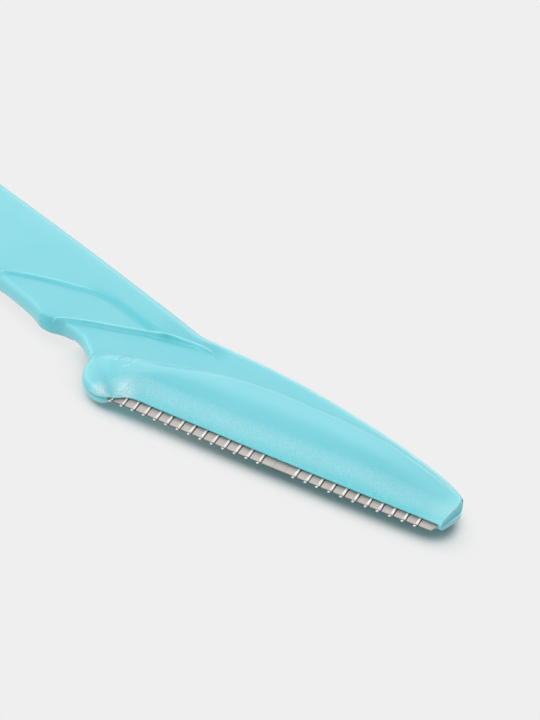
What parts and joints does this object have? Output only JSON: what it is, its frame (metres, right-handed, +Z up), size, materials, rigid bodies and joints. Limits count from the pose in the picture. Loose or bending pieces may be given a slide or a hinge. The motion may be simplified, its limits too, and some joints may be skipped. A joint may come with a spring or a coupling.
{
  "type": "eyebrow razor",
  "caption": "Flat moulded eyebrow razor: long handle with a thumb leaf, a slanted head of two jaws, and a thin straight blade guarded by a wound wire.",
  "frame": {"origin": "middle of the whole outline, on the face that the razor lies on", "axes": "+X along the handle towards the tip of the head, +Y from the front, where the blade is, to the back, +Z up out of the flat face towards the cover"},
  "size_m": [0.15, 0.0156, 0.0035],
  "materials": {
    "handle_plastic": "satin, slightly translucent teal moulding",
    "cover_plastic": "satin, finely sparked teal moulding, slightly translucent",
    "blade_steel": "fine ground stainless strip",
    "wire_steel": "bright drawn stainless wire"
  },
  "bodies": {
    "root": {"handle": "handle_plastic", "blade_cover": "cover_plastic", "blade": "blade_steel", "guard_wire": "wire_steel"}
  },
  "joints": []
}
